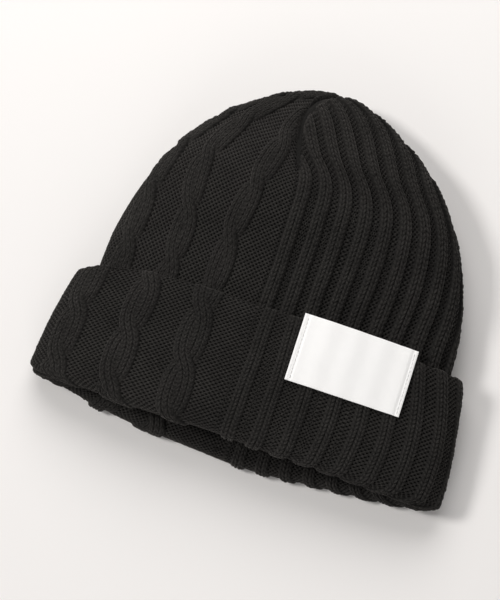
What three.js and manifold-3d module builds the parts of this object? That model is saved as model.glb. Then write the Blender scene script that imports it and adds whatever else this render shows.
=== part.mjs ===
// A knit beanie with a turned-up cuff, lying on its back as it is laid on a table.
// Millimetres. +X runs across the hat to the wearer's left, +Y from the brim to the crown's tip, +Z up.
// The origin is on the table, under the middle of the hat.
//
// The body is one knitted tube, closed at the tip by four darts and gathered by a yarn. Its lower end is
// doubled back as a cuff. Here the cuff is a separate U-shaped ring around the body's wall, so that it can be
// drawn down as on the real hat.
import * as THREE from "three";
import Module from "manifold-3d";
import { mergeVertices } from "three/addons/utils/BufferGeometryUtils.js";

// ---- Driving dimensions ----
const LENGTH = 220; // brim's furthest point to tip
const KNIT = 2.8; // one layer of knit
const WALL_LENGTH = 93; // brim's furthest point to where the crown starts to narrow
const CUFF_DEPTH = 83.5; // brim's furthest point to the cuff's free edge in front
const CROWN_HALF_WIDTH = 101.5;
const CROWN_HEIGHT = 51; // height that the crown's puffed middle rises towards
const EDGE_HEIGHT = 37; // top of the body where the crown starts to narrow
const TIP_HEIGHT = 13; // the tip's height over the table
const TIP_SHIFT = -2.5; // the tip leans a little to one side
const MOUTH_HEIGHT = 31; // top of the body's wall at the brim

// The crown's outline in plan is a superellipse, and so is its profile from the side.
const OUTLINE = { along: 1.9, across: 0.58 };
const PROFILE = { along: 2.4, across: 0.55 };
const BELLY = { along: 4, across: 0.5 };
const PUFF = 0.5; // share of the way to the tip where the crown has risen fully

// The wall under the cuff widens towards the brim and rides on the cuff's lower layer.
const WALL_FLARE = 4.5;
const WALL_LIFT = 4.8;
const DRAPE = 24; // length over which the crown's back drops on to the table

// The cuff's outer face.
const CUFF_EDGE_HALF_WIDTH = 110.5;
const CUFF_FOLD_HALF_WIDTH = 120.5;
const CUFF_PROUD = 6.2; // height of the cuff's face over the wall in front
const EDGE_DIP = 9.5; // the free edge sits lower on the wearer's right
const INNER_LEG = 33; // how far the fabric goes up inside the brim
const FOLD_RADIUS = 4.6;
const FOLD_SIDE = 11.2; // the brim's fold line stands back this far at the sides
const FOLD_FRONT = 10; // and this far in front
const FOLD_SWEEP = 0.9; // how the fold line behind sweeps back to the sides: 2 is late, 1 is early
const WALL_START = 15; // the body's wall starts this far from the fold

// Each cross-section is a rounded top over a flat-bottomed belly.
const TOP_POWER = 2.3;
const BOTTOM_POWER = 3.4;
const BELT = 0.38; // height of the widest line, as a share of the section's height
const UNDERCUT = 1.0; // the belly is cut off by the table this far up, which leaves it flat

// Sewing and labels.
const DART_LENGTH = 60;
const DART_TURN = 8; // the darts stand this many degrees round from the hat's middle planes
const SEAM_RADIUS = 0.7;
const GAP = 0.3; // between pieces that touch
const LABEL = { x: 18, y: -60.1, width: 64.6, height: 37.4, thick: 0.6 };
const LABEL_STITCH = { inset: 2, width: 0.6, thick: 0.4, margin: 1.2 };
const CARE_LABEL = { width: 20, length: 30, y: -50, thick: 0.6, hinge: 0.6 };

// Mesh fineness.
const AROUND = 56;
const CROWN_ROWS = 14;
const WALL_ROWS = 7;
const FACET_SAG = 0.5; // how far a flat facet may stand inside the curve it follows

const Y_BRIM = -LENGTH / 2;
const Y_TIP = LENGTH / 2;
const Y_CROWN = Y_BRIM + WALL_LENGTH;
const Y_EDGE = Y_BRIM + CUFF_DEPTH;

// ---- The hat's form ----
const mix = (a, b, t) => a + (b - a) * t;
const clamp01 = (t) => Math.min(1, Math.max(0, t));
const smooth = (t) => clamp01(t) ** 2 * (3 - 2 * clamp01(t));
const signedPower = (v, p) => Math.sign(v) * Math.abs(v) ** p;

// Share of the way up the crown from where it starts to narrow, and from there down to the brim.
const crownShare = (y) => clamp01((y - Y_CROWN) / (Y_TIP - Y_CROWN));
const wallShare = (y) => clamp01((Y_CROWN - y) / WALL_LENGTH);
const arch = (q, { along, across }) => Math.max(0, 1 - q ** along) ** across;

// The body's outer face at y: half width, top, bottom and sideways shift.
function bodyForm(y) {
  const q = crownShare(y);
  const w = wallShare(y);
  const half = CROWN_HALF_WIDTH * arch(q, OUTLINE) + WALL_FLARE * w ** 1.5;
  const puffed = mix(EDGE_HEIGHT, CROWN_HEIGHT, smooth(q / PUFF));
  const top = mix(TIP_HEIGHT, puffed, arch(q, PROFILE)) - (EDGE_HEIGHT - MOUTH_HEIGHT) * smooth(w);
  const lift = WALL_LIFT * (1 - smooth((y - Y_CROWN) / DRAPE));
  const bottom = mix(TIP_HEIGHT, lift, arch(q, BELLY));
  return { half, top, bottom, shift: TIP_SHIFT * q * q };
}

// The cuff's outer face at y.
function cuffForm(y) {
  const down = clamp01((Y_EDGE - y) / CUFF_DEPTH);
  const half = mix(CUFF_EDGE_HALF_WIDTH, CUFF_FOLD_HALF_WIDTH, Math.sin((down * Math.PI) / 2));
  return { half, top: bodyForm(y).top + CUFF_PROUD, bottom: 0, shift: 0 };
}

// The face of the fabric turned inside the brim. It stays clear of the wall as the cuff is drawn down.
function innerLegForm(y) {
  const near = smooth((wallShare(y) - 0.7) / 0.3);
  const body = bodyForm(y);
  const wallEnd = bodyForm(Y_BRIM + FOLD_FRONT + WALL_START);
  const inset = 2 * KNIT + 1;
  return {
    half: mix(body.half - inset, body.half - 1, near),
    top: Math.min(body.top, wallEnd.top) - inset,
    bottom: body.bottom + inset,
    shift: 0,
  };
}

// A form moved inwards by a thickness.
const thinned = (form, t) => ({
  half: Math.max(0, form.half - t),
  top: form.top - t,
  bottom: form.bottom + t,
  shift: form.shift,
});

// The point at angle phi on a form's section: 0 is the wearer's left side, 90 degrees the front, 180 the right side.
function sectionPoint(form, y, phi) {
  const c = Math.cos(phi);
  const s = Math.sin(phi);
  const belt = mix(form.bottom, form.top, BELT);
  const power = s >= 0 ? TOP_POWER : BOTTOM_POWER;
  const reach = s >= 0 ? form.top - belt : belt - (form.bottom - UNDERCUT);
  const z = belt + reach * signedPower(s, 2 / power);
  return new THREE.Vector3(form.shift + form.half * signedPower(c, 2 / power), y, Math.max(form.bottom, z));
}

// The fold line stands back at the sides and in front, so the back layer shows past the front one.
function foldBack(phi) {
  const side = Math.abs(Math.cos(phi));
  return Math.sin(phi) >= 0 ? mix(FOLD_FRONT, FOLD_SIDE, side ** 2) : FOLD_SIDE * side ** FOLD_SWEEP;
}

// The cuff's free edge dips on the wearer's right, at phi 180 degrees.
const cuffEdge = (phi) => Y_EDGE - EDGE_DIP * Math.max(0, -Math.cos(phi)) ** 4;

// ---- Solids from rings of points ----
const angleOf = (i) => (2 * Math.PI * i) / AROUND;
const ring = (pointAt) => Array.from({ length: AROUND }, (_, i) => pointAt(angleOf(i)));

function geometryOf(points, triangles) {
  const geometry = new THREE.BufferGeometry();
  geometry.setAttribute("position", new THREE.Float32BufferAttribute(points.flatMap((p) => p.toArray()), 3));
  geometry.setIndex(triangles.flat());
  geometry.computeVertexNormals();
  return geometry;
}

// Rings joined in turn. With poles the ends close on two points; without, the last ring joins the first.
function loft(rings, poles) {
  const points = rings.flat();
  const triangles = [];
  const at = (r, i) => r * AROUND + (i % AROUND);
  const last = poles ? rings.length - 1 : rings.length;
  for (let r = 0; r < last; r++) {
    const next = (r + 1) % rings.length;
    for (let i = 0; i < AROUND; i++) {
      triangles.push([at(r, i), at(r, i + 1), at(next, i)]);
      triangles.push([at(r, i + 1), at(next, i + 1), at(next, i)]);
    }
  }
  if (poles) {
    const first = points.push(poles[0]) - 1;
    const end = points.push(poles[1]) - 1;
    for (let i = 0; i < AROUND; i++) {
      triangles.push([first, at(0, i + 1), at(0, i)]);
      triangles.push([end, at(rings.length - 1, i), at(rings.length - 1, i + 1)]);
    }
  }
  return geometryOf(points, triangles);
}

// A curved plate: a grid of points at two offsets, with walls round its rim.
function plate(columns, rows, pointAt) {
  const points = [];
  for (const side of [0, 1])
    for (let j = 0; j <= rows; j++)
      for (let i = 0; i <= columns; i++) points.push(pointAt(i / columns, j / rows, side));
  const at = (side, i, j) => side * (columns + 1) * (rows + 1) + j * (columns + 1) + i;
  const triangles = [];
  const quad = (a, b, c, d) => triangles.push([a, b, c], [a, c, d]);
  for (let j = 0; j < rows; j++)
    for (let i = 0; i < columns; i++) {
      quad(at(1, i, j), at(1, i + 1, j), at(1, i + 1, j + 1), at(1, i, j + 1));
      quad(at(0, i, j), at(0, i, j + 1), at(0, i + 1, j + 1), at(0, i + 1, j));
    }
  for (let i = 0; i < columns; i++) {
    quad(at(0, i, 0), at(0, i + 1, 0), at(1, i + 1, 0), at(1, i, 0));
    quad(at(0, i, rows), at(1, i, rows), at(1, i + 1, rows), at(0, i + 1, rows));
  }
  for (let j = 0; j < rows; j++) {
    quad(at(0, 0, j), at(1, 0, j), at(1, 0, j + 1), at(0, 0, j + 1));
    quad(at(0, columns, j), at(0, columns, j + 1), at(1, columns, j + 1), at(1, columns, j));
  }
  return geometryOf(points, triangles);
}

// A round yarn along a smooth path.
function yarn(path, radius, steps) {
  const section = new THREE.Shape().absarc(0, 0, radius, 0, 2 * Math.PI);
  const curve = new THREE.CatmullRomCurve3(path);
  return new THREE.ExtrudeGeometry(section, { steps, curveSegments: 4, extrudePath: curve });
}

// ---- The body: crown and wall, one hollow shell open at the brim ----
// The body's inner face at y.
function innerForm(y) {
  const share = (y - Y_CROWN) / (Y_TIP - KNIT - Y_CROWN);
  const outer = y > Y_CROWN ? mix(Y_CROWN, Y_TIP, Math.min(1, share)) : y;
  return thinned(bodyForm(outer), KNIT * Math.min(1, 4 * (1 - crownShare(outer))));
}

// Rings from the tip to the wall's end; the cosine spaces the first ones evenly round the tip.
function bodyRings(formAt, tip) {
  const rings = [];
  for (let k = 1; k <= CROWN_ROWS; k++) {
    const y = mix(Y_CROWN, tip, Math.cos(((k / CROWN_ROWS) * Math.PI) / 2));
    rings.push(ring((phi) => sectionPoint(formAt(y), y, phi)));
  }
  for (let k = 1; k <= WALL_ROWS; k++)
    rings.push(
      ring((phi) => {
        const y = mix(Y_CROWN, Y_BRIM + foldBack(phi) + WALL_START, k / WALL_ROWS);
        return sectionPoint(formAt(y), y, phi);
      }),
    );
  return rings;
}

function bodyShell() {
  const outer = bodyRings(bodyForm, Y_TIP);
  const inner = bodyRings(innerForm, Y_TIP - KNIT);
  const tip = new THREE.Vector3(TIP_SHIFT, Y_TIP, TIP_HEIGHT);
  const innerTip = new THREE.Vector3(TIP_SHIFT, Y_TIP - KNIT, TIP_HEIGHT);
  return loft([...outer, ...inner.reverse()], [tip, innerTip]);
}

// ---- The cuff: outer leg, fold and inner leg, one U-shaped ring ----
// A face of the U: down the outer leg, round the fold and up the inner leg, at a depth into the fabric.
function cuffFace(phi, depth) {
  const fold = Y_BRIM + foldBack(phi) + FOLD_RADIUS;
  const edge = cuffEdge(phi);
  const outerAt = (y) => sectionPoint(thinned(cuffForm(y), depth), y, phi);
  const innerAt = (y) => sectionPoint(thinned(innerLegForm(y), -depth), y, phi);
  const legRows = 6;
  const foldRows = 6;
  const points = [];
  for (let k = 0; k <= legRows; k++) points.push(outerAt(mix(edge, fold, k / legRows)));
  for (let k = 1; k < foldRows; k++) {
    const turn = (Math.PI * k) / foldRows;
    const across = outerAt(fold).lerp(innerAt(fold), (1 - Math.cos(turn)) / 2);
    points.push(across.setY(fold - (FOLD_RADIUS - depth) * Math.sin(turn)));
  }
  for (let k = 0; k <= 3; k++) points.push(innerAt(mix(fold, fold + INNER_LEG, k / 3)));
  return points;
}

function cuffRing() {
  const faces = Array.from({ length: AROUND }, (_, i) => {
    const phi = angleOf(i);
    return [...cuffFace(phi, 0), ...cuffFace(phi, KNIT).reverse()];
  });
  return loft(faces[0].map((_, k) => faces.map((face) => face[k])));
}

// ---- Sewing inside the crown ----
// A seam's path along the body's inner face, which it clears by the gap.
function innerPath(phi, from, to, count) {
  const at = (y, angle) => sectionPoint(innerForm(y), y, angle);
  return Array.from({ length: count + 1 }, (_, k) => {
    const y = mix(from, to, k / count);
    const along = at(y - 0.5, phi).sub(at(y + 0.5, phi));
    const around = at(y, phi + 0.01).sub(at(y, phi - 0.01));
    const outwards = around.cross(along).normalize();
    return at(y, phi).addScaledVector(outwards, -(GAP + FACET_SAG + SEAM_RADIUS));
  });
}

const dartSeam = (degrees) =>
  yarn(innerPath(THREE.MathUtils.degToRad(degrees + DART_TURN), Y_TIP - 14, Y_TIP - DART_LENGTH, 8), SEAM_RADIUS, 24);

const backSeam = () =>
  yarn(innerPath(-Math.PI / 2, Y_TIP - DART_LENGTH - 3, Y_BRIM + FOLD_RADIUS + INNER_LEG + 4, 10), SEAM_RADIUS, 32);

function cuffSeam() {
  const height = KNIT + GAP + 0.55;
  const from = new THREE.Vector3(0, Y_EDGE - 3, height);
  const to = new THREE.Vector3(0, Y_BRIM + FOLD_RADIUS + 6, height);
  return yarn([from, from.clone().lerp(to, 0.5), to], 0.55, 12);
}

// The gathering yarn: a ring drawn tight inside the tip, with its knot.
async function gatheringYarn() {
  const wasm = await Module();
  wasm.setup();
  const solid = (geometry) => {
    geometry.deleteAttribute("normal");
    geometry.deleteAttribute("uv");
    const merged = mergeVertices(geometry);
    const vertProperties = merged.attributes.position.array;
    return new wasm.Manifold(
      new wasm.Mesh({ numProp: 3, vertProperties, triVerts: new Uint32Array(merged.index.array) }),
    );
  };
  const loop = solid(new THREE.TorusGeometry(2.6, 0.7, 8, 24).rotateX(Math.PI / 2));
  const knot = solid(new THREE.SphereGeometry(1.3, 12, 8).translate(2.6, -0.6, 0));
  const joined = loop.add(knot).getMesh();
  const geometry = new THREE.BufferGeometry();
  geometry.setAttribute("position", new THREE.BufferAttribute(joined.vertProperties, 3));
  geometry.setIndex(new THREE.BufferAttribute(joined.triVerts, 1));
  geometry.computeVertexNormals();
  return geometry;
}

// ---- The label on the cuff ----
// A point over the cuff's front at x, y, raised along z.
function overCuff(x, y, raise) {
  const form = cuffForm(y);
  const belt = mix(form.bottom, form.top, BELT);
  const across = (1 - Math.abs(x / form.half) ** TOP_POWER) ** (1 / TOP_POWER);
  return new THREE.Vector3(x, y, belt + (form.top - belt) * across + raise);
}

const frontLabel = () =>
  plate(14, 6, (u, v, side) =>
    overCuff(LABEL.x + LABEL.width * u, LABEL.y + LABEL.height * v, GAP + LABEL.thick * side),
  );

function labelStitch(x) {
  const base = 2 * GAP + LABEL.thick;
  const start = LABEL.y + LABEL_STITCH.margin;
  const length = LABEL.height - 2 * LABEL_STITCH.margin;
  return plate(1, 8, (u, v, side) =>
    overCuff(x + LABEL_STITCH.width * u, start + length * v, base + LABEL_STITCH.thick * side),
  );
}

// ---- The care label, sewn by one edge to the back seam's ridge ----
const RIDGE = WALL_LIFT + KNIT + GAP + 2 * SEAM_RADIUS + 0.25;
const HINGE_Z = RIDGE + 0.5;

const careLabel = () =>
  new THREE.BoxGeometry(CARE_LABEL.width, CARE_LABEL.length, CARE_LABEL.thick).translate(
    CARE_LABEL.hinge + GAP + CARE_LABEL.width / 2,
    CARE_LABEL.y + CARE_LABEL.length / 2,
    HINGE_Z,
  );

const careLabelStitch = () =>
  new THREE.BoxGeometry(0.5, CARE_LABEL.length, 0.4).translate(
    -0.2,
    CARE_LABEL.y + CARE_LABEL.length / 2,
    RIDGE + GAP + 0.25,
  );

// ---- The hat ----
const knitMaterial = new THREE.MeshStandardMaterial({ color: 0x252423, roughness: 0.95, metalness: 0 });
const yarnMaterial = new THREE.MeshStandardMaterial({ color: 0x1c1b1a, roughness: 0.9, metalness: 0 });
const labelMaterial = new THREE.MeshStandardMaterial({ color: 0xf2f3f2, roughness: 0.6, metalness: 0 });
const threadMaterial = new THREE.MeshStandardMaterial({ color: 0xe6e6e2, roughness: 0.5, metalness: 0 });

const hat = new THREE.Group();

function add(name, geometry, material, position = [0, 0, 0]) {
  const mesh = new THREE.Mesh(geometry, material);
  mesh.name = name;
  mesh.position.set(...position);
  hat.add(mesh);
}

add("crown_knit", bodyShell(), knitMaterial);
add("turned_cuff", cuffRing(), knitMaterial);
add("dart_seam_left", dartSeam(0), yarnMaterial);
add("dart_seam_front", dartSeam(90), yarnMaterial);
add("dart_seam_right", dartSeam(180), yarnMaterial);
add("dart_seam_back", dartSeam(270), yarnMaterial);
add("back_seam", backSeam(), yarnMaterial);
add("cuff_back_seam", cuffSeam(), yarnMaterial);
add("crown_closing_yarn", await gatheringYarn(), yarnMaterial, [TIP_SHIFT, Y_TIP - 8, 14.5]);
add("front_label", frontLabel(), labelMaterial);
add("label_stitch_inner", labelStitch(LABEL.x + LABEL_STITCH.inset), threadMaterial);
add("label_stitch_outer", labelStitch(LABEL.x + LABEL.width - LABEL_STITCH.inset), threadMaterial);
add("care_label", careLabel(), labelMaterial);
add("care_label_stitch", careLabelStitch(), threadMaterial);

export default hat;
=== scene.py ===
"""The looks of a knit beanie lying on its back: stitches, ribs, cables, darts, seams and labels.

Lengths are in millimetres until a mesh is made. X runs across the hat, Y from the brim to the tip, Z up.
"""

import math
from dataclasses import dataclass

import bpy
import numpy as np
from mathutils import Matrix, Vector


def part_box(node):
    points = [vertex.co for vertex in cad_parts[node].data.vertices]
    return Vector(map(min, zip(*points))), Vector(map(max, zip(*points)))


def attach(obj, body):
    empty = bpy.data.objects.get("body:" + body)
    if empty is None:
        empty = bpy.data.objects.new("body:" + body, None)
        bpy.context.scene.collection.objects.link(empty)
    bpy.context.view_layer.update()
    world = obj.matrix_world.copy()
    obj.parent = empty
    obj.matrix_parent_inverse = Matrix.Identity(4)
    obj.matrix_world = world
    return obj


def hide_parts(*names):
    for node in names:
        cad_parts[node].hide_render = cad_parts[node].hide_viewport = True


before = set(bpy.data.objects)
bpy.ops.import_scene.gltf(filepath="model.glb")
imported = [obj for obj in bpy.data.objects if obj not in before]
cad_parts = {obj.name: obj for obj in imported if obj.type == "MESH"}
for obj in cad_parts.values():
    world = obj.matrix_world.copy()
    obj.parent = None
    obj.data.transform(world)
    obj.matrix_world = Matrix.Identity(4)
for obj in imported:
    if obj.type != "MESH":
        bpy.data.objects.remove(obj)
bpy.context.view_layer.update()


def node_box(name):
    """A CAD node's lowest and highest corners, in millimetres."""
    low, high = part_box(name)
    return np.array(low) * 1000, np.array(high) * 1000


# ---- The hat's form: the boxes come from the CAD nodes, and the other dimensions are the CAD part's own ----
CUFF_LOW, CUFF_HIGH = node_box("turned_cuff")
Y_BRIM = CUFF_LOW[1]
Y_EDGE = CUFF_HIGH[1]
Y_TIP = node_box("crown_knit")[1][1]
CUFF_DEPTH = Y_EDGE - Y_BRIM
WALL_LENGTH = 93  # the brim's furthest point to where the crown starts to narrow
Y_CROWN = Y_BRIM + WALL_LENGTH
KNIT = 2.8  # one layer of knit
CROWN_HALF_WIDTH = 101.5
CROWN_HEIGHT = 51  # height that the crown's puffed middle rises towards
EDGE_HEIGHT = 37  # top of the body where the crown starts to narrow
MOUTH_HEIGHT = 31  # top of the body's wall at the brim
TIP_HEIGHT = 13
TIP_SHIFT = -2.5  # the tip leans a little to one side
OUTLINE = (1.9, 0.58)  # powers of the crown's outline, then of its top and of its underside
PROFILE = (2.4, 0.55)
BELLY = (4, 0.5)
PUFF = 0.5  # share of the way to the tip where the crown has risen fully
WALL_FLARE = 4.5
WALL_LIFT = 4.8
DRAPE = 24  # length over which the crown's back drops on to the table
CUFF_EDGE_HALF_WIDTH = 110.5
CUFF_FOLD_HALF_WIDTH = 120.5
CUFF_PROUD = 6.2  # height of the cuff's face over the wall in front
EDGE_DIP = 9.5  # the free edge sits lower on the wearer's right
INNER_LEG = 33  # how far the fabric goes up inside the brim
FOLD_RADIUS = 4.6
FOLD_SIDE = 11.2  # the brim's fold line stands back this far at the sides
FOLD_FRONT = 10  # and this far in front
FOLD_SWEEP = 0.9  # how the fold line behind sweeps back to the sides: 2 is late, 1 is early
WALL_START = 15  # the body's wall starts this far from the fold
TOP_POWER = 2.3  # a section's roundness above its widest line and below it: 2 is an ellipse
BOTTOM_POWER = 3.4
BELT = 0.38  # height of the widest line, as a share of the section's height
UNDERCUT = 1  # the table cuts the belly off this far up, which leaves it flat
DART_TURN = 8  # the sewn darts stand this many degrees round from the hat's middle planes


def mix(a, b, t):
    return a + (b - a) * t


def smooth(t):
    t = np.clip(t, 0, 1)
    return t * t * (3 - 2 * t)


def signed_power(v, p):
    return np.sign(v) * np.abs(v) ** p


def arch(q, powers):
    """A curve from 1 at q = 0 down to 0 at q = 1."""
    return np.maximum(0, 1 - q ** powers[0]) ** powers[1]


def crown_share(y):
    return np.clip((y - Y_CROWN) / (Y_TIP - Y_CROWN), 0, 1)


def wall_share(y):
    return np.clip((Y_CROWN - y) / WALL_LENGTH, 0, 1)


def body_form(y):
    """Half width, top, bottom and sideways shift of the body's outer face at y."""
    q = crown_share(y)
    w = wall_share(y)
    half = CROWN_HALF_WIDTH * arch(q, OUTLINE) + WALL_FLARE * w**1.5
    puffed = mix(EDGE_HEIGHT, CROWN_HEIGHT, smooth(q / PUFF))
    top = mix(TIP_HEIGHT, puffed, arch(q, PROFILE)) - (EDGE_HEIGHT - MOUTH_HEIGHT) * smooth(w)
    lift = WALL_LIFT * (1 - smooth((y - Y_CROWN) / DRAPE))
    bottom = mix(TIP_HEIGHT, lift, arch(q, BELLY))
    return half, top, bottom, TIP_SHIFT * q * q


def cuff_form(y):
    """The same for the cuff's outer face."""
    down = np.clip((Y_EDGE - y) / CUFF_DEPTH, 0, 1)
    half = mix(CUFF_EDGE_HALF_WIDTH, CUFF_FOLD_HALF_WIDTH, np.sin(down * math.pi / 2))
    return half, body_form(y)[1] + CUFF_PROUD, 0 * half, 0 * half


def inner_leg_form(y):
    """The same for the face of the fabric turned inside the brim."""
    near_fold = smooth((wall_share(y) - 0.7) / 0.3)
    body_half, body_top, body_bottom = body_form(y)[:3]
    wall_end_top = body_form(np.array(Y_BRIM + FOLD_FRONT + WALL_START))[1]
    inset = 2 * KNIT + 1
    half = mix(body_half - inset, body_half - 1, near_fold)
    return half, np.minimum(body_top, wall_end_top) - inset, body_bottom + inset, 0 * half


def inner_form(y):
    """The same for the body's inner face."""
    share = (y - Y_CROWN) / (Y_TIP - KNIT - Y_CROWN)
    outer = np.where(y > Y_CROWN, mix(Y_CROWN, Y_TIP, np.minimum(1, share)), y)
    return thinned(body_form(outer), KNIT * np.minimum(1, 4 * (1 - crown_share(outer))))


def thinned(form, t):
    """A form drawn in by a thickness."""
    half, top, bottom, shift = form
    return np.maximum(0.01, half - t), top - t, bottom + t, shift


def section(form, y, phi):
    """Points on a form's sections: phi is 0 at +X and 90 degrees in front, as an array (..., 3)."""
    half, top, bottom, shift = form
    c, s = np.cos(phi), np.sin(phi)
    belt = mix(bottom, top, BELT)
    power = np.where(s >= 0, TOP_POWER, BOTTOM_POWER)
    reach = np.where(s >= 0, top - belt, belt - (bottom - UNDERCUT))
    z = np.maximum(bottom, belt + reach * signed_power(s, 2 / power))
    x = shift + half * signed_power(c, 2 / power)
    return np.stack(np.broadcast_arrays(x, y, z), axis=-1)


def fold_back(phi):
    """How far the brim's fold line stands back from the brim's furthest point."""
    side = np.abs(np.cos(phi))
    return np.where(np.sin(phi) >= 0, mix(FOLD_FRONT, FOLD_SIDE, side**2), FOLD_SIDE * side**FOLD_SWEEP)


def cuff_edge(phi):
    """The y of the cuff's free edge."""
    return Y_EDGE - EDGE_DIP * np.maximum(0, -np.cos(phi)) ** 4


def ripple(*waves):
    """A smooth, uneven number from -1 to 1 over two coordinates, for what knitting leaves irregular."""

    def at(a, b):
        total = 0
        for k, (wa, wb, phase) in enumerate(waves):
            total = total + np.sin(a * wa + b * wb + phase + 0.7 * np.sin(a * wb - b * wa + k))
        return total / len(waves)

    return at


slump = ripple((0.031, 0.047, 0.4), (-0.052, 0.038, 2.1), (0.071, -0.023, 4.0))
drift = ripple((0.11, 0.07, 1.0), (-0.06, 0.13, 3.0), (0.19, 0.05, 5.1))
tension = ripple((0.9, 0.6, 0.3), (-0.7, 1.1, 2.7), (1.3, -0.4, 4.4))


SECTION_STEPS = 1440  # a section's arc length is summed over this many steps


def lengths_along(points, axis):
    """Running length of lines of points along an axis."""
    steps = np.linalg.norm(np.diff(points, axis=axis), axis=-1)
    start = np.zeros_like(np.take(steps, [0], axis=axis))
    return np.concatenate([start, np.cumsum(steps, axis=axis)], axis=axis)


def phi_of_share(form_at, y, shares):
    """The section angle at each share of the way round from the front towards +X, and the girth."""
    phis = np.linspace(math.pi / 2, math.pi / 2 - 2 * math.pi, SECTION_STEPS + 1)
    run = lengths_along(section(form_at(y), y, phis), 0)
    turns = np.floor(shares)
    return np.interp(shares - turns, run / run[-1], phis) - 2 * math.pi * turns, run[-1]


# ---- Stitches ----
CROWN_RIB = 12.2  # from one rib's middle to the next
CUFF_RIB = 15.2
LEG_SLANT = 0.4  # a stitch's joint lies this share of a row lower at a leg's inner side than in its middle
JOINT_DEPTH = 0.4  # a leg sinks by this share at each joint
JOINT_LENGTH = 0.16  # as a share of a row
STITCH_HEIGHT = 1.4
PURL_HEIGHT = 1.5
RIB_CLEFT = 0.35  # height left between a rib's two legs, and between a cable's
CABLE_CLEFT = 0.6
CABLE_STITCH = 0.9  # a cable's stitches over a rib's, in height
STRAND = 0.55  # a strand's half width over the cable's
STRAND_WALES = 3
CABLE_MARGIN = 1  # a leaning strand may reach this far past the cable's edge
SWING = 1.4  # how suddenly the strands change sides
CROSSING = 0.18  # share of a repeat that a crossing takes
OVER = 0.3  # at a crossing the front strand rises by this share, and the back one dips
UNDER = 0.55
FILLING = 0.7  # height of the knit between the strands over theirs
FILLING_PAINTED_LIGHT = 0.15
ROW_TURN = 0.35  # how far a strand's rows turn with its lean
WANDER = 0.3  # ribs and cables stray sideways this far
UNEVEN = 0.1  # share by which stitches differ in height


def knit_legs(a, v, wale, row, cleft):
    """The two legs of a wale of knit stitches, as cords from 0 to 1, with a shallow cleft where a is 0."""
    across = np.clip(np.abs(a) / (0.25 * wale) - 1, -1, 1)
    cord = np.sqrt(1 - across**2)
    cord = np.where(across < 0, mix(cleft, 1, cord), cord)
    from_joint = (v / row - LEG_SLANT * across) % 1 - 0.5
    return cord * (1 - JOINT_DEPTH * np.exp(-((from_joint / JOINT_LENGTH) ** 2)))


def purl_bumps(a, v, wale, row, pit):
    """The purl side's bumps: a close surface at 1, with a pit at every half wale and half row."""
    pits = np.zeros_like(v)
    for k in (0, 0.5):
        da = (a / wale + k) % 1 - 0.5
        dv = (v / row + k) % 1 - 0.5
        pits += np.exp(-((da / pit) ** 2) - (dv / (0.85 * pit)) ** 2)
    return 1 - np.minimum(1, pits)


def loaf(q):
    """A flat top with round shoulders, from 1 in the middle to 0 where q is -1 or 1."""
    return np.maximum(0, 1 - np.abs(q) ** 6) ** 0.5


@dataclass
class Gauge:
    """The sizes of one part's stitches, ribs and cables."""

    row: float
    purl_wale: float
    pit: float  # as a share of a stitch
    rib_pitch: float
    rib_width: float
    rib_height: float
    groove_painted_light: float  # painted shade: share of its painted light that the purl between two ribs keeps
    cable_half: float
    cable_height: float


CROWN_GAUGE = Gauge(
    row=2.6,
    purl_wale=2.65,
    pit=0.22,
    rib_pitch=CROWN_RIB,
    rib_width=7.9,
    rib_height=2.8,
    groove_painted_light=0.75,
    cable_half=7.1,
    cable_height=2.5,
)
CUFF_GAUGE = Gauge(
    row=2.4,
    purl_wale=3.15,
    pit=0.23,
    rib_pitch=CUFF_RIB,
    rib_width=8.6,
    rib_height=2.1,
    groove_painted_light=0.9,
    cable_half=9.2,
    cable_height=2.3,
)


def rib_stitches(a, v, gauge):
    """Height of a rib of two knit wales about a = 0, and the painted light of its stitches, from painted
    shade in their clefts to painted highlight on their crests.
    """
    half = gauge.rib_width / 2
    body = loaf(a / half)
    legs = knit_legs(np.abs(a) - half / 2, v, half, gauge.row, RIB_CLEFT)
    return body * (gauge.rib_height + STITCH_HEIGHT * (legs - 0.5)), body * legs


def cable_stitches(a, v, crossing, repeat, gauge):
    """The same for two strands of three wales, which cross at each repeat, the upper left one in front."""
    turn = (v - crossing) / repeat
    turn = turn - np.floor(turn + 0.5)
    sway = np.sin(math.pi * turn)
    swing = np.tanh(SWING * sway) / math.tanh(SWING)
    slope = SWING * math.pi / repeat * np.cos(math.pi * turn) / np.cosh(SWING * sway) ** 2
    near = np.exp(-((turn / CROSSING) ** 2))
    strand_half = STRAND * gauge.cable_half
    wale = strand_half / (STRAND_WALES / 2)
    reach = gauge.cable_half - strand_half
    height = FILLING * gauge.cable_height * loaf(a / gauge.cable_half) * (1 - near)
    # Painted shade: the knit between the strands keeps little of its painted light.
    painted_light = np.full_like(height, FILLING_PAINTED_LIGHT)
    for side, level in ((-1, 1 + OVER * near), (1, 1 - UNDER * near)):
        lean = side * reach * slope
        from_strand = (a - side * reach * swing) / np.sqrt(1 + lean**2)
        body = loaf(from_strand / strand_half)
        from_wale = ((from_strand / wale + 0.5) % 1 - 0.5) * wale
        legs = knit_legs(from_wale, v + ROW_TURN * from_strand * lean, wale, gauge.row, CABLE_CLEFT)
        strand = body * (gauge.cable_height * level + STITCH_HEIGHT * CABLE_STITCH * (legs - 0.5))
        painted_light = np.where(strand > height, body * legs, painted_light)
        height = np.maximum(height, strand)
    return height, painted_light


def lay_over(relief, painted_light, near, raised):
    """Lays a rib or a cable over the knit wherever it stands higher."""
    height, shown = raised
    over = height > relief[near]
    relief[near] = np.where(over, height, relief[near])
    painted_light[near] = np.where(over, shown, painted_light[near])


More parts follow.
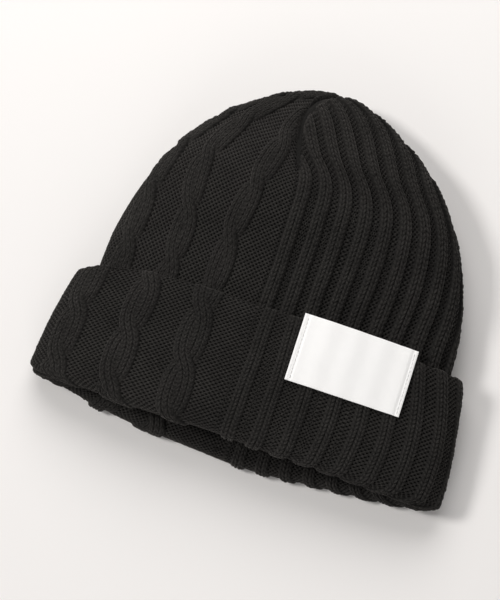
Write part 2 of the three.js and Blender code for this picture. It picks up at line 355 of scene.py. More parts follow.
def panel(x, v, ribs, cables, gauge, tight=1.0):
    """Height of the knit over its ground, and each point's painted light from 0 to 1: painted shade in pits
    and grooves, painted highlight on crests.

    Ribs are given by their middles; cables also by the height of a crossing and by their repeat.
    """
    x = x + WANDER * drift(x, v)
    ground = x
    grooved = np.zeros(x.shape, dtype=bool)
    for centre in ribs:
        from_rib = np.abs(x - centre) / tight
        beside = from_rib < gauge.rib_pitch / 2
        ground = np.where(beside, from_rib - gauge.rib_pitch / 2, ground)
        grooved |= beside
    painted_light = purl_bumps(ground, v, gauge.purl_wale, gauge.row, gauge.pit)
    relief = PURL_HEIGHT * painted_light
    # Painted shade in the grooves between ribs.
    painted_light = np.where(grooved, gauge.groove_painted_light * painted_light, painted_light)
    for centre in ribs:
        a = (x - centre) / tight
        near = np.abs(a) < gauge.rib_width / 2
        lay_over(relief, painted_light, near, rib_stitches(a[near], v[near], gauge))
    for centre, crossing, repeat in cables:
        a = x - centre
        near = np.abs(a) < gauge.cable_half + CABLE_MARGIN
        lay_over(relief, painted_light, near, cable_stitches(a[near], v[near], crossing, repeat, gauge))
    return relief * (1 + UNEVEN * tension(x, v)), painted_light


# ---- Meshes ----
def mesh_from_grids(name, grids, painted_light=None):
    """A smooth mesh of grids of points in millimetres; a closed grid's last column joins its first."""
    points, quads, start = [], [], 0
    for grid, closed in grids:
        rows, columns = grid.shape[:2]
        index = start + np.arange(rows * columns).reshape(rows, columns)
        start += rows * columns
        if closed:
            index = np.concatenate([index, index[:, :1]], axis=1)
        corners = [index[:-1, :-1], index[:-1, 1:], index[1:, 1:], index[1:, :-1]]
        quads.append(np.stack(corners, axis=-1).reshape(-1, 4))
        points.append(grid.reshape(-1, 3))
    points = np.concatenate(points)
    quads = np.concatenate(quads)
    mesh = bpy.data.meshes.new(name)
    mesh.vertices.add(len(points))
    mesh.vertices.foreach_set("co", (points.reshape(-1) * 0.001).astype(np.float32))
    mesh.loops.add(quads.size)
    mesh.loops.foreach_set("vertex_index", quads.reshape(-1).astype(np.int32))
    mesh.polygons.add(len(quads))
    mesh.polygons.foreach_set("loop_start", np.arange(0, quads.size, 4, dtype=np.int32))
    mesh.polygons.foreach_set("use_smooth", np.ones(len(quads), dtype=bool))
    # Each point's painted light: painted shade in recesses, painted highlight on crests.
    if painted_light is not None:
        shown = mesh.attributes.new("painted_light", "FLOAT", "POINT")
        shown.data.foreach_set("value", painted_light.reshape(-1).astype(np.float32))
    mesh.update(calc_edges=True)
    mesh.validate()
    piece = bpy.data.objects.new(name, mesh)
    bpy.context.scene.collection.objects.link(piece)
    return piece


def halves(name, points, painted_light):
    """A grid as two meshes that meet in its middle column, to keep each one light."""
    middle = points.shape[1] // 2
    cuts = {"a": slice(None, middle + 1), "b": slice(middle, None)}
    return [
        mesh_from_grids(name + letter, [(points[:, cut], False)], painted_light[:, cut])
        for letter, cut in cuts.items()
    ]


TABLE = 0.05  # nothing lies lower than this


def grid_normals(points):
    """Outward unit normals of a grid whose rows run towards the tip and columns towards +X in front."""
    along = np.gradient(points, axis=0)
    across = np.gradient(points, axis=1)
    normal = np.cross(across, along)
    return normal / np.maximum(1e-9, np.linalg.norm(normal, axis=-1, keepdims=True))


def wear(piece, body, slot, *nodes):
    """Rides a piece on a body, gives it its material and hides the CAD nodes that it stands for."""
    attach(piece, body)
    piece.data.materials.append(MATERIALS[slot])
    if nodes:
        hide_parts(*nodes)
    return piece


# ---- The crown ----
INSET = 1.6  # the purl ground lies this far inside the CAD face
TUCK = 1.1  # and this much further in under the hat, where the cuff slides over it
TUCK_PAST = 6  # the tuck reaches this far past the crown's start, and fades over twice that length
STEP_ACROSS = 0.35  # mesh fineness
STEP_ALONG = 0.32
CROWN_FROM = Y_EDGE - 26  # the visible crown goes down this far under the cuff
FRONT_SPREAD = 0.075  # towards the tip the front's stitches spread by this share, and the back's crowd
TIGHTENING = 0.05  # and the ribs narrow by this share
TAPER = 65  # length over which both happen
# The darts, as shares of the way round from the front's middle towards +X, below where they start.
DARTS = np.array([-0.513, -0.265, -0.0215, 0.2308, 0.487])
DART_FROM = 46  # the y where they start
FRONT_DART = DARTS[2]
DART_LEAN = -0.07  # the front dart leans by this share on its way to the tip
LEAN_FROM = 35
LEAN_LENGTH = 75
SLIP_FROM = 62  # above this y the ribs run into the dart on their right
SLIP_LENGTH = 30
SLIP = 15  # they have run in by this when they are that length past it
FIRST_RIB = -4.7  # the middle of the rib nearest the front, from the front's middle
BEND_FROM = DART_FROM - 4  # the ribs start to follow the dart here
BEND_LENGTH = 22
RIB_REACH = 0.12  # ribs from this share past a gore's right dart may lean into it
EDGE_REACH = 0.03  # and ribs from this share past its left dart, and cables from either side
CREASE = 2.2  # depth and half width of a dart's fold
CREASE_HALF = 1.8
CREASE_FLAT = 0.6  # the fold flattens the knit by this share
PILLOW = 1.2  # and of the wider dip about it
PILLOW_HALF = 9
SEWN_LENGTH = 12  # a dart deepens over this length
CALM_GIRTH = 6  # near the tip the relief fades out down to this girth
CALM_OVER = 60  # over this much of it
TIP_RELIEF = 0.4  # and this share of it is left
SETTLE = -0.25  # mean height of the slumps and dents

# Each cable: its share of the way round below the darts, the same above their start, a crossing, the repeat.
CROWN_CABLES = [
    (-0.083, -0.0775, 53.5, 31.7),
    (-0.1455, -0.1665, 60, 28),
    (-0.2105, -0.222, 61, 27.5),
    (-0.29, -0.29, 50, 31),
    (-0.36, -0.36, 58, 31),
    (-0.43, -0.43, 47, 31),
]


def crown_stations():
    below = np.linspace(CROWN_FROM, Y_CROWN, 40)[:-1]
    above = mix(Y_CROWN, Y_TIP - 0.02, np.sin(np.linspace(0, math.pi / 2, 160)))
    return np.concatenate([below, above])


STATIONS = crown_stations()
GIRTHS = np.array([phi_of_share(body_form, y, [0])[1] for y in STATIONS])


def girth(y):
    return np.interp(y, STATIONS, GIRTHS)


def arc_share(share, y):
    """Where a line of stitches, named by its share of the way round below, runs on the section at y."""
    spread = FRONT_SPREAD * smooth((y - Y_CROWN) / TAPER) * np.sin(2 * math.pi * share) / (2 * math.pi)
    by_front_dart = np.maximum(0, np.cos(2 * math.pi * (share - FRONT_DART))) ** 2
    lean = DART_LEAN * smooth((y - LEAN_FROM) / LEAN_LENGTH) * by_front_dart
    return share + spread + lean


def crown_grid(form_at, shares, rows):
    """Points on the crown at each share round it, evenly spaced up each line, with each row's y."""
    table = np.stack([phi_of_share(form_at, y, arc_share(shares, y))[0] for y in STATIONS])
    lines = section([f[:, None] for f in form_at(STATIONS)], STATIONS[:, None], table)
    run = lengths_along(lines, 0)
    share_up = np.linspace(0, 1, rows + 1)
    y = np.stack([np.interp(share_up * r[-1], r, STATIONS) for r in run.T], axis=1)
    phi = np.stack([np.interp(y[:, k], STATIONS, table[:, k]) for k in range(len(shares))], axis=1)
    return section(form_at(y), y, phi), y


def crown_rib(at, y, dart):
    """A rib's middle at y, in mm round from the front: it follows the dart on its right and runs into it."""
    share = at / girth(Y_CROWN)
    free = arc_share(share, y) * girth(y)
    offset = (arc_share(dart, DART_FROM) - arc_share(share, DART_FROM)) * girth(DART_FROM)
    slip = SLIP * (np.maximum(0, y - SLIP_FROM) / SLIP_LENGTH) ** 1.6
    beside_dart = arc_share(dart, y) * girth(y) - offset + slip
    return mix(free, beside_dart, smooth((y - BEND_FROM) / BEND_LENGTH))


def gore_ribs(left, right, y):
    """Middles of the ribs that show on the gore between two darts."""
    base = girth(Y_CROWN)
    starts = np.arange(FIRST_RIB, DARTS[-1] * base, CROWN_RIB)
    shown = (starts > (left - EDGE_REACH) * base) & (starts < (right + RIB_REACH) * base)
    return [crown_rib(at, y, right) for at in starts[shown]]


def gore_cables(left, right, y):
    """Middles, crossings and repeats of the cables that show there."""
    return [
        (mix(low, high, smooth(y / 50)) * girth(y), crossing, repeat)
        for low, high, crossing, repeat in CROWN_CABLES
        if left - EDGE_REACH < low < right + EDGE_REACH
    ]


def build_gore(name, left, right, v_row):
    """The knit between two darts, which are given by their shares."""
    shares = np.linspace(left, right, int((right - left) * girth(Y_CROWN) / STEP_ACROSS) + 1)
    points, y = crown_grid(body_form, shares, len(v_row) - 1)
    normals = grid_normals(points)
    around = girth(y)
    x = arc_share(shares[None, :], y) * around
    v = v_row * np.ones_like(x)
    tight = 1 - TIGHTENING * smooth((y - Y_CROWN) / TAPER)
    ribs, cables = gore_ribs(left, right, y), gore_cables(left, right, y)
    relief, painted_light = panel(x, v, ribs, cables, CROWN_GAUGE, tight)
    from_dart = np.minimum(shares - left, right - shares)[None, :] * around
    sewn = smooth((y - DART_FROM) / SEWN_LENGTH)
    crease = sewn * np.exp(-((from_dart / CREASE_HALF) ** 2))
    pillow = sewn * np.exp(-((from_dart / PILLOW_HALF) ** 2))
    relief = relief * (1 - CREASE_FLAT * crease)
    calm = smooth((around - CALM_GIRTH) / CALM_OVER)
    soft = slump(points[..., 0], points[..., 1]) + SETTLE
    offset = relief * mix(TIP_RELIEF, 1, calm) + (soft - INSET) * calm - CREASE * crease - PILLOW * pillow
    tucked = smooth((Y_CROWN + TUCK_PAST - y) / (2 * TUCK_PAST))
    offset -= TUCK * tucked * np.maximum(0, -normals[..., 2])
    points = points + normals * offset[..., None]
    points[..., 2] = np.maximum(points[..., 2], TABLE)
    # Painted shade: the dart's crease loses its painted light.
    return halves(name, points, painted_light * (1 - crease))


def build_crown():
    """Four gores between the darts, which meet in one knit below the darts' start."""
    front_line = section(body_form(STATIONS), STATIONS, np.full(len(STATIONS), math.pi / 2))
    length = lengths_along(front_line, 0)[-1]
    v_row = np.linspace(0, length, int(length / STEP_ALONG) + 1)[:, None]
    pieces = []
    for k, (left, right) in enumerate(zip(DARTS[:-1], DARTS[1:])):
        pieces += build_gore(f"crown_gore_{k + 1}", left, right, v_row)
    return pieces


INNER_GIRTH = 440  # the inner face's mean girth below, for its waves
INNER_WAVE = 0.5  # the ribs show this deep on the inner face
INNER_INSET = 0.6
WALL_FACE = 0.8  # the wall's outer face under the cuff lies this far inside the CAD face


def build_crown_inside():
    """The crown's inner face, down to the wall's end and back up outside to where the gores begin."""
    shares = np.linspace(0, 1, 300, endpoint=False)
    points, y = crown_grid(inner_form, shares, 150)
    normals = grid_normals(points)
    x = shares[None, :] * INNER_GIRTH * np.ones_like(y)
    calm = smooth((Y_TIP - y - 3) / 40)
    wave = INNER_WAVE * np.sin(x * 2 * math.pi / CROWN_RIB) - INNER_INSET
    points = points + normals * (wave * calm)[..., None]
    phi = phi_of_share(inner_form, CROWN_FROM, shares)[0][None, :]
    end = Y_BRIM + fold_back(phi) + WALL_START
    below = mix(end, CROWN_FROM, np.linspace(0, 1, 40)[:, None])
    inner = section(inner_form(below), below, phi)
    outer = section(thinned(body_form(below), WALL_FACE), below, phi)
    grid = np.concatenate([outer[::-1], inner[:-1], points])
    # The whole inner face gets an even middle share of painted light, between the painted pit shade and
    # crest highlight.
    return mesh_from_grids("crown_inside", [(grid, True)], np.full(grid.shape[:2], 0.5))


# ---- The cuff ----
CUFF_STEP_ACROSS = 0.36
CUFF_STEP_ALONG = 0.3
HIDDEN_STEP = 1.1  # mesh fineness where the cuff isn't seen
EDGE_TURNED = 10  # the free edge is turned under this far
EDGE_HIDDEN = 9  # and this much of it isn't seen
FIRST_CUFF_RIB = -0.8
RIB_BOW = 5  # the ribs bow towards +X by this much, halfway down
CUFF_SLUMP = 1.2  # the cuff's slumps and dents over the crown's
CUT_SHIFT = 0.013  # the quarters meet this share off the hat's middle planes
FIRST_ROWS = 8  # the knit stands lower over this much of it next to the free edge
EDGE_RELIEF = 0.55
HIDDEN_RELIEF = 0.15

# Each cuff cable: its middle in mm round from the front, a crossing's depth below the edge and the repeat.
CUFF_CABLES = [
    (-36, 14, 30.6),
    (-71, 36, 30.6),
    (-105, 28, 30.6),
    (-138, 8, 31),
    (-172, 20, 31),
    (-206, 2, 31),
]


def half_turn(steps):
    """Angles strictly between 0 and 180 degrees, as a column."""
    return np.linspace(0, math.pi, steps)[1:-1, None]


def cuff_path(phi):
    """Lines down the cuff's outer face, round the fold and up inside, from just inside the free edge."""
    edge = cuff_edge(phi)
    fold = Y_BRIM + fold_back(phi) + FOLD_RADIUS
    roll = KNIT / 2
    back_y = mix(edge - EDGE_TURNED, edge - roll, np.linspace(0, 1, 12)[:, None])
    back = section(thinned(cuff_form(back_y), KNIT), back_y, phi)
    turn = half_turn(12)
    rolled_form = thinned(cuff_form(edge - roll + 0 * turn), roll * (1 + np.cos(turn)))
    rolled = section(rolled_form, edge - roll + roll * np.sin(turn), phi)
    front_y = mix(edge - roll, fold, np.linspace(0, 1, 120)[:, None])
    front = section(cuff_form(front_y), front_y, phi)
    turn = half_turn(40)
    outer = section(cuff_form(fold), fold, phi)
    inner = section(inner_leg_form(fold), fold, phi)
    folded = mix(outer, inner, (1 - np.cos(turn))[..., None] / 2)
    folded[..., 1] = fold - FOLD_RADIUS * np.sin(turn)
    leg_y = mix(fold, fold + INNER_LEG, np.linspace(0, 1, 50)[:, None])
    leg = section(inner_leg_form(leg_y), leg_y, phi)
    return np.concatenate([back, rolled, front, folded, leg])


def cuff_layout(down, round_it):
    """Middles of the cuff's ribs and cables at each depth below the edge, and the cables' crossings."""
    share_down = np.clip(down / CUFF_DEPTH, 0, 1)
    ribs = []
    for at in np.arange(FIRST_CUFF_RIB, 0.5 * round_it, CUFF_RIB):
        bow = RIB_BOW * smooth(at / 60) * smooth((150 - at) / 40)
        ribs.append(at + bow * np.sin(math.pi * share_down))
    cables = []
    for at, crossing, repeat in CUFF_CABLES:
        cables.append((at + mix(-3, 2, share_down), -crossing, repeat))
    return ribs, cables


def cuff_slump(points):
    return CUFF_SLUMP * slump(points[..., 0] + 90, points[..., 1] - 40)


def cuff_rows(total):
    """Distances down the cuff's path at which it has a row of points, close together where it is seen."""
    shown_to = total - INNER_LEG + 12
    return np.concatenate(
        [
            np.arange(0, EDGE_HIDDEN, HIDDEN_STEP),
            np.arange(EDGE_HIDDEN, shown_to, CUFF_STEP_ALONG),
            np.arange(shown_to, total, HIDDEN_STEP),
            [total],
        ]
    )


def points_along(lines, run, places):
    """Points of each line, a column, at these shares of its length."""
    columns = [
        np.stack([np.interp(places * r[-1], r, line[:, i]) for i in range(3)], axis=-1)
        for r, line in zip(run.T, lines.swapaxes(0, 1))
    ]
    return np.stack(columns, axis=1)


def build_cuff():
    """The cuff in four quarters that meet without a step."""
    middle_y = np.array(mix(Y_EDGE, Y_BRIM, 0.6))
    round_it = phi_of_share(cuff_form, middle_y, [0])[1]
    cuts = np.linspace(-0.5, 0.5, 5) + CUT_SHIFT
    total = 2 * INNER_LEG + CUFF_DEPTH
    down = cuff_rows(total)
    pieces = []
    for k, (left, right) in enumerate(zip(cuts[:-1], cuts[1:])):
        columns = int((right - left) * round_it / CUFF_STEP_ACROSS)
        shares = np.linspace(left, right, columns + 1)
        lines = cuff_path(phi_of_share(cuff_form, middle_y, shares)[0])
        run = lengths_along(lines, 0)
        points = points_along(lines, run, down / total)
        normals = -grid_normals(points)
        stretch = run[-1].mean() / total
        x = shares[None, :] * round_it * np.ones((len(down), 1))
        below_edge = (down * stretch - EDGE_HIDDEN - 1)[:, None] * np.ones_like(x)
        ribs, cables = cuff_layout(below_edge, round_it)
        relief, painted_light = panel(x, -below_edge, ribs, cables, CUFF_GAUGE)
        seen = smooth((below_edge + 4) / 5)
        full = mix(EDGE_RELIEF, 1, smooth(below_edge / FIRST_ROWS))
        relief = relief * mix(HIDDEN_RELIEF, 1, seen) * full
        soft = cuff_slump(points)
        points = points + normals * (relief + (soft - INSET) * seen)[..., None]
        points[..., 2] = np.maximum(points[..., 2], TABLE)
        pieces += halves(f"cuff_quarter_{k + 1}", points[::-1], painted_light[::-1])
    return pieces


# ---- Labels ----
LABEL_THICK = 0.5
LABEL_TILT = 1.4  # degrees; it was sewn on slightly askew
LABEL_RISE = 1.5  # the cuff's ribs hold the label this far over the CAD face
RIBS_THROUGH = 0.14  # and print through it by this
RIM = 0.12  # a cloth's rounded rim stands out this far
HELD = 0.35  # the stitches pull the label down this far
STITCH_INSET = 2.3  # a row of stitches runs this far inside the label's short edge
EDGE_FALL = 0.15  # the label's face falls away this much at its edges
EDGE_FALL_WIDTH = 0.35
RIBBON_THICK = 0.32
RIBBON_CURL = 0.9
STITCH_PITCH = 2.3
STITCH_SUNK = 0.3  # a stitch's ends lie this far under the label's face
STITCH_ARCH = 0.34
THREAD_RADIUS = 0.17


def over_cuff(x, y, raised):
    """Points over the cuff's front, raised along Z from its CAD face."""
    half, top, bottom = cuff_form(y)[:3]
    belt = mix(bottom, top, BELT)
    across = np.maximum(0, 1 - np.abs(x / half) ** TOP_POWER) ** (1 / TOP_POWER)
    return np.stack(np.broadcast_arrays(x, y, belt + (top - belt) * across + raised), axis=-1)


def tilted(x, y, low, high):
    """Points of the label's own plane, turned by its slight tilt about its middle."""
    middle = (low + high) / 2
    turn = math.radians(LABEL_TILT)
    dx, dy = x - middle[0], y - middle[1]
    return (
        middle[0] + dx * math.cos(turn) - dy * math.sin(turn),
        middle[1] + dx * math.sin(turn) + dy * math.cos(turn),
    )


def label_rest(x, y):
    """Height of the label's underside over the cuff's CAD face, with the ribs that print through it."""
    ribs = RIBS_THROUGH * np.sin(x * 2 * math.pi / CUFF_RIB + 0.5)
    return LABEL_RISE + ribs + cuff_slump(over_cuff(x, y, 0))


def cloth_plate(name, top, under):
    """A thin closed cloth from its two faces, with a rounded rim all round."""
    rim = (top + under) / 2
    outwards = rim - rim.reshape(-1, 3).mean(axis=0)
    outwards[..., 2] = 0
    rim = rim + RIM * outwards / np.maximum(1e-6, np.linalg.norm(outwards, axis=-1, keepdims=True))
    layers = np.stack([under, rim, top])
    grids = [(top, False), (under[:, ::-1], False)]
    for edge in (layers[:, 0], layers[:, -1, ::-1], layers[:, ::-1, 0], layers[:, :, -1]):
        grids.append((edge[:, ::-1], False))
    return mesh_from_grids(name, grids)


def plate_grid(low, high, columns, rows):
    """Shares across and along a flat cloth in a node's box, and the points' x and y."""
    across = np.linspace(0, 1, columns)[None, :]
    along = np.linspace(0, 1, rows)[:, None]
    return across, along, mix(low[0], high[0], across), mix(low[1], high[1], along)


def build_label():
    low, high = node_box("front_label")
    across, along, x, y = plate_grid(low, high, 150, 90)
    width, height = high[0] - low[0], high[1] - low[1]
    from_side = np.minimum(across, 1 - across) * width
    from_edge = np.minimum(from_side, np.minimum(along, 1 - along) * height)
    held = HELD * np.exp(-((np.minimum(x - low[0], high[0] - x) - STITCH_INSET) ** 2))
    x, y = tilted(x, y, low, high)
    rest = label_rest(x, y)
    fall = EDGE_FALL * np.exp(-from_edge / EDGE_FALL_WIDTH)
    top = over_cuff(x, y, rest + LABEL_THICK - held - fall)
    under = over_cuff(x, y, rest - 0.5 * held)
    return cloth_plate("cuff_label", top, under)


def square_to(path):
    """Two unit vectors square to a path and to each other, at each of its points."""
    ahead = np.gradient(path, axis=0)
    ahead /= np.linalg.norm(ahead, axis=1, keepdims=True)
    side = np.cross(ahead, (0.31, 0.17, 0.93))
    side /= np.linalg.norm(side, axis=1, keepdims=True)
    return side, np.cross(side, ahead)


def tube(path, radius, sides=8):
    """A round tube's grid about a path; radius may change along it."""
    side, over = square_to(path)
    turn = np.linspace(0, 2 * math.pi, sides, endpoint=False)[None, :, None]
    ring = np.cos(turn) * side[:, None] + np.sin(turn) * over[:, None]
    return path[:, None] + ring * np.broadcast_to(radius, len(path))[:, None, None]


def rounded(count, radius):
    """Radii that close a tube at both ends."""
    return np.maximum(0.02, radius * loaf(np.linspace(-1, 1, count)))


def thread_rows(low_y, high_y):
    """Where each stitch of a row along Y starts, and shares of the way along a stitch."""
    return np.arange(low_y, high_y, STITCH_PITCH), np.linspace(0, 1, 13)


def label_stitches(name, row_x, low_y, high_y):
    """A row of machine stitches along a short edge, each dipping into the label at its ends."""
    grids = []
    starts, t = thread_rows(low_y, high_y - STITCH_PITCH + 0.2)
    for start in starts:
        uneven = row_x + 0.08 * np.sin(start * 5)
        x, y = tilted(uneven, start + (0.12 + 0.76 * t) * STITCH_PITCH, *node_box("front_label"))
        rise = LABEL_THICK - STITCH_SUNK + STITCH_ARCH * np.sin(math.pi * t) ** 0.6
        path = over_cuff(x, y, label_rest(x, y) + rise)
        grids.append((tube(path, rounded(len(t), THREAD_RADIUS)), True))
    return mesh_from_grids(name, grids)


def build_label_stitches():
    pieces = []
    for node in ("label_stitch_inner", "label_stitch_outer"):
        low, high = node_box(node)
        name = node.replace("label_", "label_thread_")
        pieces.append((label_stitches(name, (low[0] + high[0]) / 2, low[1], high[1]), node))
    return pieces


def build_care_label():
    """A blank ribbon inside the hat, lying open and slightly curled."""
    low, high = node_box("care_label")
    across, along, x, y = plate_grid(low, high, 40, 60)
    middle = (low[2] + high[2]) / 2
    curl = RIBBON_CURL * across**2 + 0.25 * np.sin(along * 5) * across
    top = np.stack(np.broadcast_arrays(x, y, middle + RIBBON_THICK / 2 + curl), axis=-1)
    return cloth_plate("care_ribbon", top, top - np.array([0, 0, RIBBON_THICK]))


def build_care_stitches():
    low, high = node_box("care_label_stitch")
    grids = []
    starts, t = thread_rows(low[1] + 0.5, high[1] - STITCH_PITCH)
    for start in starts:
        y = start + (0.1 + 0.8 * t) * STITCH_PITCH
        x = mix(low[0], high[0], 0.5) + 0.25 * (t - 0.5)
        z = low[2] + 0.1 + 0.45 * np.sin(math.pi * t)
        grids.append((tube(np.stack([x, y, z], axis=-1), rounded(len(t), THREAD_RADIUS)), True))
    return mesh_from_grids("care_stitches", grids)


# ---- Sewing inside the hat ----
YARN_RADIUS = 0.7
THIN_YARN = 0.5
YARN_TURN = 3.2  # length of one turn of the yarn's twist
PLY = 0.56  # a ply's radius over the yarn's
CLOSING_RING = 2.6  # radius of the ring of yarn inside the tip
KNOT_RADIUS = 0.75
SEAM_CLEAR = 1.5  # a seam's middle stands this far off the body's inner face


def twisted_yarn(path, radius=YARN_RADIUS):
    """Two plies wound round each other along a path."""
    run = lengths_along(path, 0)
    even = np.linspace(0, run[-1], int(run[-1] / 0.3) + 2)
    path = np.stack([np.interp(even, run, path[:, i]) for i in range(3)], axis=-1)
    side, over = square_to(path)
    grids = []
    for ply in (0, math.pi):
        turn = (even * 2 * math.pi / YARN_TURN + ply)[:, None]
        centre = path + 0.5 * radius * (np.cos(turn) * side + np.sin(turn) * over)
        grids.append((tube(centre, rounded(len(centre), PLY * radius)), True))
    return grids


def inside_path(phi, start, end):
    """A line along the body's inner face, clear of it."""
    y = np.linspace(start, end, 80)
    form = inner_form(y)
    along = section(inner_form(y - 0.5), y - 0.5, phi) - section(inner_form(y + 0.5), y + 0.5, phi)
    around = section(form, y, phi + 0.01) - section(form, y, phi - 0.01)
    outwards = np.cross(around, along)
    outwards /= np.linalg.norm(outwards, axis=1, keepdims=True)
    return section(form, y, phi) - SEAM_CLEAR * outwards


def build_seams():
    """The linking yarn of the four darts, of the body's back and of the cuff's back."""
    pieces = []
    for name, degrees in {"left": 0, "front": 90, "right": 180, "back": 270}.items():
        node = f"dart_seam_{name}"
        low, high = node_box(node)
        path = inside_path(math.radians(degrees + DART_TURN), high[1], low[1])
        pieces.append((mesh_from_grids(f"dart_yarn_{name}", twisted_yarn(path)), "crown", node))
    low, high = node_box("back_seam")
    path = inside_path(-math.pi / 2, high[1], low[1])
    pieces.append((mesh_from_grids("back_yarn", twisted_yarn(path)), "crown", "back_seam"))
    low, high = node_box("cuff_back_seam")
    middle = (low + high) / 2
    path = np.stack([middle, middle])
    path[:, 1] = low[1], high[1]
    seam = mesh_from_grids("cuff_back_yarn", twisted_yarn(path, THIN_YARN))
    pieces.append((seam, "cuff", "cuff_back_seam"))
    return pieces


def build_closing_yarn():
    """The yarn drawn tight in a ring inside the tip, with its knot and two short ends."""
    low, high = node_box("crown_closing_yarn")
    left = low[0] + CLOSING_RING + YARN_RADIUS
    middle = np.array([left, (low[1] + high[1]) / 2, (low[2] + high[2]) / 2])
    turn = np.linspace(0, 2 * math.pi, 60)
    loop = middle + CLOSING_RING * np.stack([np.cos(turn), 0 * turn, np.sin(turn)], axis=-1)
    knot_at = middle + np.array([CLOSING_RING, -0.3, 0])
    turn = np.linspace(0, 3 * math.pi, 40)
    round_knot = np.stack([0.9 * np.cos(turn), np.sin(turn), 0.5 * np.cos(0.5 * turn)], axis=-1)
    grids = twisted_yarn(loop) + twisted_yarn(knot_at + KNOT_RADIUS * round_knot, THIN_YARN)
    for rise in (-2, 1.6):
        t = np.linspace(0, 1, 20)[:, None]
        end = knot_at + t * np.array([0.3, -5, rise]) + np.sin(3 * t) * np.array([0, 0, -0.6])
        grids += twisted_yarn(end, 0.9 * THIN_YARN)
    return mesh_from_grids("closing_yarn", grids)


# ---- Materials: lengths are in metres ----
WARP_PITCH = 0.00042  # of the ribbon's weave
WEFT_PITCH = 0.0005
THREAD_TWIST = 0.0003
PIT_PAINTED_SHADE = 0.03  # painted shade and painted highlight: brightness of the wool in a stitch's depth, and on its crest
CREST_PAINTED_HIGHLIGHT = 1.58
PAINTED_SHADE_POWER = 1.7


def new_material(name, **settings):
    """A Principled material with these sockets set, and its tree, shader and object coordinates."""
    material = bpy.data.materials.new(name)
    material.use_nodes = True
    tree = material.node_tree
    shader = tree.nodes["Principled BSDF"]
    for socket, value in settings.items():
        shader.inputs[socket.replace("_", " ")].default_value = value
    place = tree.nodes.new("ShaderNodeTexCoord").outputs["Object"]
    return material, tree, shader, place


def noise(tree, place, scale, detail):
    node = tree.nodes.new("ShaderNodeTexNoise")
    node.inputs["Scale"].default_value = scale
    node.inputs["Detail"].default_value = detail
    tree.links.new(place, node.inputs["Vector"])
    return node.outputs["Fac"]


def stripes(tree, place, direction, period):
    """Sine bands of a period in metres along X, Y or the diagonal."""
    node = tree.nodes.new("ShaderNodeTexWave")
    node.bands_direction = direction
    node.inputs["Scale"].default_value = math.pi / (10 * period)
    node.inputs["Distortion"].default_value = 0.6
    tree.links.new(place, node.inputs["Vector"])
    return node.outputs["Fac"]


def ramp(tree, fac, low, high, low_at=0.3, high_at=0.7):
    node = tree.nodes.new("ShaderNodeValToRGB")
    node.color_ramp.elements[0].position = low_at
    node.color_ramp.elements[0].color = (*low, 1)
    node.color_ramp.elements[1].position = high_at
    node.color_ramp.elements[1].color = (*high, 1)
    tree.links.new(fac, node.inputs["Fac"])
    return node.outputs["Color"]


def maths(tree, operation, a, b):
    node = tree.nodes.new("ShaderNodeMath")
    node.operation = operation
    for socket, value in zip(node.inputs, (a, b)):
        if isinstance(value, (int, float)):
            socket.default_value = value
        else:
            tree.links.new(value, socket)
    return node.outputs["Value"]


def blend(tree, a, b, share_of_a):
    """Two values mixed in given shares."""
    first = maths(tree, "MULTIPLY", a, share_of_a)
    second = maths(tree, "MULTIPLY", b, round(1 - share_of_a, 6))
    return maths(tree, "ADD", first, second)


def bump(tree, shader, height, strength, distance):
    node = tree.nodes.new("ShaderNodeBump")
    node.inputs["Strength"].default_value = strength
    node.inputs["Distance"].default_value = distance
    tree.links.new(height, node.inputs["Height"])
    tree.links.new(node.outputs["Normal"], shader.inputs["Normal"])


def wool(name, low, high, with_painted_shade):
    """Matt wool: fine fibres, a slow drift of tone, and, when asked for, painted shade in the depths and
    painted highlight on the crests.
    """
    material, tree, shader, place = new_material(
        name, Roughness=0.92, Specular_IOR_Level=0.18, Sheen_Weight=0.2, Sheen_Roughness=0.4
    )
    shader.inputs["Sheen Tint"].default_value = (0.75, 0.7, 0.66, 1)
    fibre = noise(tree, place, 1700, 5)
    fac = blend(tree, fibre, noise(tree, place, 60, 2), 0.8)
    colour = ramp(tree, fac, low, high, 0.36, 0.64)
    if with_painted_shade:
        # Painted shade and highlight: the attribute darkens pits, grooves and creases and brightens crests.
        painted_light = tree.nodes.new("ShaderNodeAttribute")
        painted_light.attribute_name = "painted_light"
        brightness = tree.nodes.new("ShaderNodeMapRange")
        brightness.inputs["To Min"].default_value = PIT_PAINTED_SHADE
        brightness.inputs["To Max"].default_value = CREST_PAINTED_HIGHLIGHT
        tree.links.new(maths(tree, "POWER", painted_light.outputs["Fac"], PAINTED_SHADE_POWER), brightness.inputs["Value"])
        scaled = tree.nodes.new("ShaderNodeVectorMath")
        scaled.operation = "SCALE"
        tree.links.new(colour, scaled.inputs["Vector"])
        tree.links.new(brightness.outputs["Result"], scaled.inputs["Scale"])
        colour = scaled.outputs["Vector"]
    tree.links.new(colour, shader.inputs["Base Color"])
    bump(tree, shader, fibre, 0.6, 0.0005)
    return material


def satin_ribbon():
    """White woven satin: fine warp floats crossed by a fainter weft."""
    material, tree, shader, place = new_material(
        "satin_ribbon", Roughness=0.5, Specular_IOR_Level=0.35, Sheen_Weight=0.15
    )
    weave = blend(tree, stripes(tree, place, "X", WARP_PITCH), stripes(tree, place, "Y", WEFT_PITCH), 0.65)
    fac = blend(tree, weave, noise(tree, place, 90, 3), 0.6)
    colour = ramp(tree, fac, (0.93, 0.93, 0.925), (0.99, 0.99, 0.985), 0.2, 0.8)
    tree.links.new(colour, shader.inputs["Base Color"])
    bump(tree, shader, weave, 0.35, 0.0002)
    return material


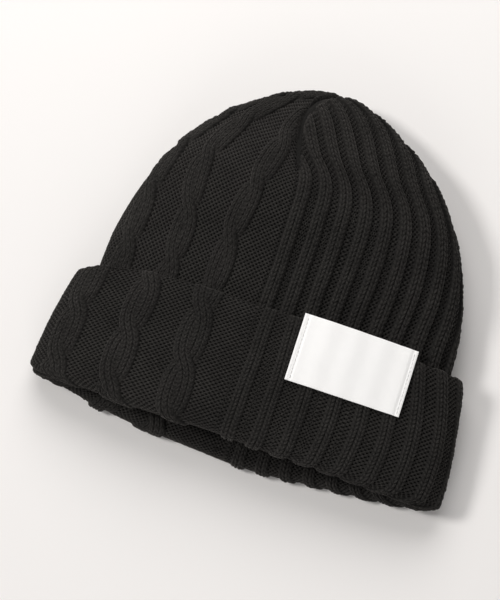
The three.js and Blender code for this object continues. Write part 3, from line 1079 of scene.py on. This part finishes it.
def sewing_thread():
    """White twisted polyester."""
    material, tree, shader, place = new_material("sewing_thread", Roughness=0.45, Specular_IOR_Level=0.4)
    twist = stripes(tree, place, "DIAGONAL", THREAD_TWIST)
    tree.links.new(ramp(tree, twist, (0.76, 0.76, 0.755), (0.9, 0.9, 0.895)), shader.inputs["Base Color"])
    bump(tree, shader, twist, 0.5, 0.0002)
    return material


# ---- Studio: lengths are in metres and angles in degrees ----
CAMERA_TARGET = Vector((-0.0153, -0.0210, 0.017))
CAMERA_TURN = 19.4  # the camera stands this far round from the brim towards +X
CAMERA_ELEVATION = 78
CAMERA_DISTANCE = 0.95
LENS = 102
LIGHT_TARGET = Vector((0, 0, 0.02))
# Each light: its size, watts, place and colour.
LIGHTS = {
    "key": (0.8, 57, (-2.3, -0.3, 2.55), (1, 0.98, 0.96)),
    "softbox": (1.0, 8.8, (-0.25, 0.72, 0.8), (1, 0.98, 0.965)),
    "fill": (0.8, 3.2, (0.1, -1.0, 0.4), (1, 0.98, 0.97)),
}
WORLD_COLOUR = (1, 0.985, 0.975, 1)
WORLD_STRENGTH = 0.19
FLOOR_HALF = 3
FLOOR_COLOUR = (0.86, 0.845, 0.835, 1)


def build_camera():
    turn, elevation = math.radians(CAMERA_TURN), math.radians(CAMERA_ELEVATION)
    back = Vector(
        (
            math.sin(turn) * math.cos(elevation),
            -math.cos(turn) * math.cos(elevation),
            math.sin(elevation),
        )
    )
    data = bpy.data.cameras.new("camera")
    data.lens = LENS
    camera = bpy.data.objects.new("camera", data)
    bpy.context.scene.collection.objects.link(camera)
    camera.location = CAMERA_TARGET + back * CAMERA_DISTANCE
    camera.rotation_euler = (-back).to_track_quat("-Z", "Y").to_euler()
    bpy.context.scene.camera = camera


def build_lights():
    for name, (size, watts, place, colour) in LIGHTS.items():
        light = bpy.data.lights.new(name, "AREA")
        light.shape = "DISK"
        light.size = size
        light.energy = watts
        light.color = colour
        lamp = bpy.data.objects.new(name, light)
        bpy.context.scene.collection.objects.link(lamp)
        lamp.location = place
        lamp.rotation_euler = (LIGHT_TARGET - Vector(place)).to_track_quat("-Z", "Y").to_euler()


def build_world():
    world = bpy.data.worlds.new("studio")
    bpy.context.scene.world = world
    world.use_nodes = True
    background = world.node_tree.nodes["Background"]
    background.inputs["Color"].default_value = WORLD_COLOUR
    background.inputs["Strength"].default_value = WORLD_STRENGTH
    bpy.context.scene.view_settings.view_transform = "Standard"


def build_floor():
    mesh = bpy.data.meshes.new("floor")
    corners = [(x * FLOOR_HALF, y * FLOOR_HALF, 0) for x, y in ((-1, -1), (1, -1), (1, 1), (-1, 1))]
    mesh.from_pydata(corners, [], [(0, 1, 2, 3)])
    floor = bpy.data.objects.new("floor", mesh)
    bpy.context.scene.collection.objects.link(floor)
    material, _, shader, _ = new_material("floor", Roughness=0.85)
    shader.inputs["Base Color"].default_value = FLOOR_COLOUR
    floor.data.materials.append(material)


MATERIALS = {
    "knit": wool("charcoal_knit", (0.0045, 0.0042, 0.0039), (0.0235, 0.0222, 0.0206), True),
    "yarn": wool("linking_yarn", (0.008, 0.0077, 0.0073), (0.022, 0.021, 0.0195), False),
    "label": satin_ribbon(),
    "thread": sewing_thread(),
}

build_camera()
build_lights()
build_world()
build_floor()

for piece in build_crown():
    wear(piece, "crown", "knit")
wear(build_crown_inside(), "crown", "knit", "crown_knit")
quarters = build_cuff()
wear(quarters[0], "cuff", "knit", "turned_cuff")
for piece in quarters[1:]:
    wear(piece, "cuff", "knit")
label = wear(build_label(), "cuff", "label", "front_label")
for piece, node in build_label_stitches():
    wear(piece, "cuff", "thread", node)
care = wear(build_care_label(), "care_flap", "label", "care_label")
wear(build_care_stitches(), "crown", "thread", "care_label_stitch")
for piece, body, node in build_seams():
    wear(piece, body, "yarn", node)
wear(build_closing_yarn(), "crown", "yarn", "crown_closing_yarn")
